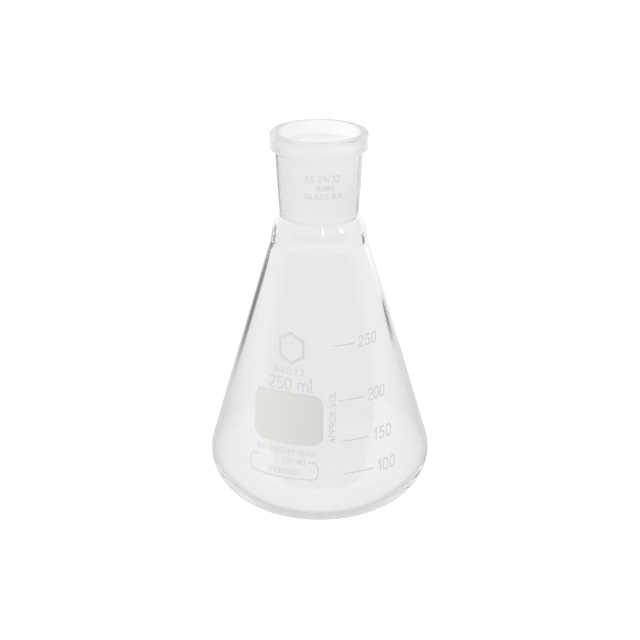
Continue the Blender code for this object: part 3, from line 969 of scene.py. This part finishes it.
def make_floor():
    mesh = bpy.data.meshes.new("floor")
    bm = bmesh.new()
    bmesh.ops.create_circle(bm, cap_ends=True, segments=96, radius=6.0)
    bm.to_mesh(mesh)
    bm.free()
    floor = link(bpy.data.objects.new("floor", mesh))
    floor.location.z = -0.0002
    material = bpy.data.materials.new("floor")
    material.use_nodes = True
    tree = material.node_tree
    tree.nodes.clear()
    out = tree.nodes.new("ShaderNodeOutputMaterial")
    path = tree.nodes.new("ShaderNodeLightPath")
    place = tree.nodes.new("ShaderNodeNewGeometry").outputs["Position"]
    reach = tree.nodes.new("ShaderNodeVectorMath")
    reach.operation = "LENGTH"
    tree.links.new(place, reach.inputs[0])
    # seen mirrored, the floor glows darker towards the flask: painted shade, seen only in the glass
    far = ramp_of(
        tree,
        reach.outputs["Value"],
        ((0.10, 0.72), (0.22, 0.78), (0.32, 0.95), (0.60, 1.10), (1.0, 1.10)),
    )
    behind_camera = maths(
        tree,
        "MULTIPLY",
        front_share(tree, place),
        remap(tree, reach.outputs["Value"], 1.2, 2.4, 0.0, 1.0),
    )
    far = mixed(tree, behind_camera, far, 0.36)
    split = tree.nodes.new("ShaderNodeSeparateXYZ")
    tree.links.new(place, split.inputs[0])
    across = maths(tree, "SUBTRACT", split.outputs[0], PAINTED_FLAG_FROM[0])
    behind = maths(tree, "SUBTRACT", split.outputs[1], PAINTED_FLAG_FROM[1])
    turn = maths(tree, "ARCTAN2", across, behind)
    off = maths(
        tree, "ABSOLUTE", maths(tree, "SUBTRACT", turn, math.radians(PAINTED_FLAG_ANGLE))
    )
    half = math.radians(PAINTED_FLAG_HALF)
    # painted reflection: a dark streak in the floor's glow, seen only mirrored in the glass
    painted_flag_streak = remap(tree, off, half * 0.7, half * 1.5, 1.0, 0.0)
    painted_flag_streak = maths(
        tree,
        "MULTIPLY",
        painted_flag_streak,
        maths(
            tree,
            "MULTIPLY",
            remap(tree, reach.outputs["Value"], *PAINTED_FLAG_REACH, 0.0, 1.0),
            remap(tree, reach.outputs["Value"], *PAINTED_FLAG_FADE, 1.0, 0.0),
        ),
    )
    # painted reflection: a dark spot in the floor's glow, seen only mirrored in the glass
    spot = tree.nodes.new("ShaderNodeVectorMath")
    spot.operation = "DISTANCE"
    spot.inputs[1].default_value = (*PAINTED_SPOT_PLACE, 0)
    tree.links.new(place, spot.inputs[0])
    dot = remap(tree, spot.outputs["Value"], PAINTED_SPOT_SIZE * 0.7, PAINTED_SPOT_SIZE * 1.5, PAINTED_SPOT_GREY, 1.0)
    mirrored = maths(tree, "MULTIPLY", far, mixed(tree, painted_flag_streak, 1.0, PAINTED_FLAG_GREY))
    mirrored = maths(tree, "MULTIPLY", mirrored, dot)
    strength = mixed(tree, mirrored_share(tree, path), PASSED_FLOOR, mirrored)
    behind_glass = maths(
        tree,
        "MULTIPLY",
        scattered_share(tree, path),
        maths(tree, "SUBTRACT", 1.0, path.outputs["Is Diffuse Ray"]),
    )
    strength = mixed(tree, behind_glass, strength, SCATTERED)
    strength = mixed(tree, path.outputs["Is Camera Ray"], strength, WHITE)
    glow = tree.nodes.new("ShaderNodeEmission")
    tree.links.new(strength, glow.inputs["Strength"])
    tree.links.new(glow.outputs[0], out.inputs["Surface"])
    mesh.materials.append(material)
    return floor


def make_world():
    world = bpy.data.worlds.new("studio")
    bpy.context.scene.world = world
    world.use_nodes = True
    tree = world.node_tree
    tree.nodes.clear()
    out = tree.nodes.new("ShaderNodeOutputWorld")
    path = tree.nodes.new("ShaderNodeLightPath")
    where = tree.nodes.new("ShaderNodeTexCoord")
    split = tree.nodes.new("ShaderNodeSeparateXYZ")
    tree.links.new(where.outputs["Generated"], split.inputs[0])
    height = remap(tree, split.outputs[2], -1.0, 1.0, 0.0, 1.0)
    height.node.interpolation_type = "LINEAR"
    # the position is (sine of the elevation + 1) / 2
    passed = ramp_of(tree, height, ((0.0, 0.92), (0.85, 0.92), (1.0, 0.85)))
    front = ramp_of(tree, height, ((0.0, 0.9), (0.5, 0.28), (0.59, 0.25), (0.65, 0.50), (0.82, 0.66), (1.0, 0.85)))
    around_it = ramp_of(tree, height, ((0.0, 0.96), (1.0, 0.96)))
    mirrored = mixed(tree, front_share(tree, where.outputs["Generated"]), around_it, front)
    lit = ramp_of(tree, height, ((0.0, 0.64), (0.5, 0.64), (0.7, 0.60), (1.0, 0.64)))
    strength = mixed(tree, mirrored_share(tree, path), passed, mirrored)
    strength = mixed(tree, scattered_share(tree, path), strength, SCATTERED)
    strength = mixed(tree, path.outputs["Is Diffuse Ray"], strength, lit)
    strength = mixed(tree, path.outputs["Is Camera Ray"], strength, WHITE)
    sky = tree.nodes.new("ShaderNodeBackground")
    sky.inputs["Color"].default_value = (1, 1, 1, 1)
    tree.links.new(strength, sky.inputs["Strength"])
    tree.links.new(sky.outputs[0], out.inputs["Surface"])


def make_lamp(name, place, target, size, power, colour=(1, 1, 1)):
    light = bpy.data.lights.new(name, "AREA")
    light.shape = "RECTANGLE"
    light.size, light.size_y = size
    light.energy = power
    light.color = colour
    lamp = link(bpy.data.objects.new(name, light))
    lamp.location = place
    lamp.rotation_euler = (Vector(target) - Vector(place)).to_track_quat("-Z", "Y").to_euler()
    lamp.visible_camera = False
    lamp.visible_transmission = False
    return lamp


make_floor()
make_world()
def around(azimuth, elevation, distance):
    """A place seen from the flask: azimuth 0 is the camera's side, positive to the right."""
    a, e = math.radians(azimuth), math.radians(elevation)
    return (
        distance * math.cos(e) * math.sin(a),
        -distance * math.cos(e) * math.cos(a),
        0.08 + distance * math.sin(e),
    )


key = make_lamp("key", around(12, 48, 1.2), (0, 0, 0.08), (0.08, 0.34), 2.0)
side = make_lamp("side", around(68, 40, 1.2), (0, 0, 0.08), (0.10, 0.30), 1.2)
key.visible_diffuse = side.visible_diffuse = False
fill = make_lamp("fill", around(-62, 30, 1.4), (0, 0, 0.06), (0.8, 0.8), 6.0)
fill.visible_glossy = False

# ---------------------------------------------------------------- the camera
camera_data = bpy.data.cameras.new("camera")
camera = link(bpy.data.objects.new("camera", camera_data))
camera_data.lens = 67.74
camera_data.sensor_width = 36.0
camera.matrix_world = (
    Matrix.Translation((0.0002, -0.41564, 0.25174))
    @ Matrix.Rotation(math.radians(66.028), 4, "X")
    @ Matrix.Rotation(math.radians(-0.12), 4, "Z")
)
bpy.context.scene.camera = camera

scene = bpy.context.scene
scene.view_settings.view_transform = "Standard"
scene.view_settings.look = "None"
scene.view_settings.exposure = 0.0
scene.view_settings.gamma = 1.0
# glass sends light round inside its own wall many times over
scene.cycles.blur_glossy = 0.0
scene.cycles.max_bounces = 1024
scene.cycles.glossy_bounces = 1024
scene.cycles.transmission_bounces = 1024
scene.cycles.diffuse_bounces = 4

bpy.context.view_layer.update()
